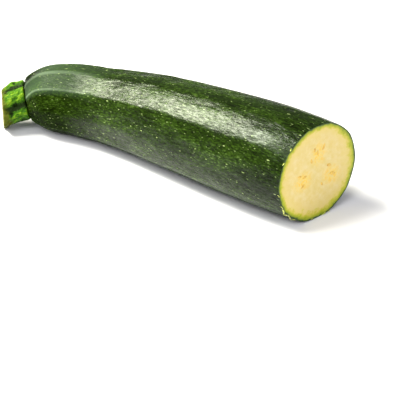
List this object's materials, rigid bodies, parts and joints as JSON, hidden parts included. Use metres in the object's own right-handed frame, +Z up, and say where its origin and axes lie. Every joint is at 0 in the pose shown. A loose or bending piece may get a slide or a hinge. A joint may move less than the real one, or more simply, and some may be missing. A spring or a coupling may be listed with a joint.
{
  "type": "courgette",
  "caption": "Dark green courgette, its blossom end sliced off at a slant: ribbed and bent at the neck, with a grooved stub of stem and a cream cut face with faint seeds.",
  "frame": {"origin": "on the table, in the flat strip that the fruit rests on, under its straightest stretch and near its centre of mass", "axes": "+Z up off the table; +X along the straight stretch and out through the cut face; the neck bends towards -Y near the stem"},
  "size_m": [0.192, 0.0637, 0.0497],
  "materials": {
    "skin": "waxy dark green skin with pale flecks; on the cut face a thin yellow-green rind round moist cream flesh",
    "stem": "fibrous light green stem with grooves, its cut end dried olive-brown"
  },
  "bodies": {
    "root": {"fruit": "skin", "stem": "stem"}
  },
  "joints": []
}
